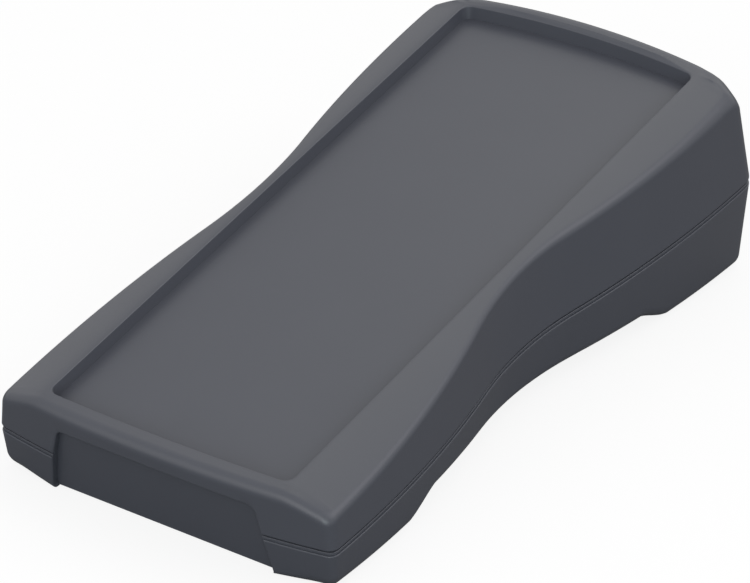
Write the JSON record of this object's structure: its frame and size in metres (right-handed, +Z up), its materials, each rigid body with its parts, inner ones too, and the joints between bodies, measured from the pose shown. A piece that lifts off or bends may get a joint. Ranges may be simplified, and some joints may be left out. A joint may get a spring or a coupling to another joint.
{
  "type": "handheld enclosure",
  "caption": "Waisted two-part plastic case for a handheld instrument, wedge-shaped, with a sunken keypad area on top, a seam groove and flat end panels.",
  "frame": {"origin": "middle of the case on the ground that its feet stand on", "axes": "+Z up, +Y from the thin end to the thick end, +X to the right seen from the thin end"},
  "size_m": [0.0844, 0.1722, 0.0498],
  "materials": {
    "shell": "finely eroded graphite grey",
    "panel": "finely eroded graphite grey",
    "screw": "zinc plated"
  },
  "bodies": {
    "root": {"top_shell": "shell", "bottom_shell": "shell", "thin_end_panel": "panel", "thick_end_panel": "panel", "case_screws": "screw"}
  },
  "joints": []
}
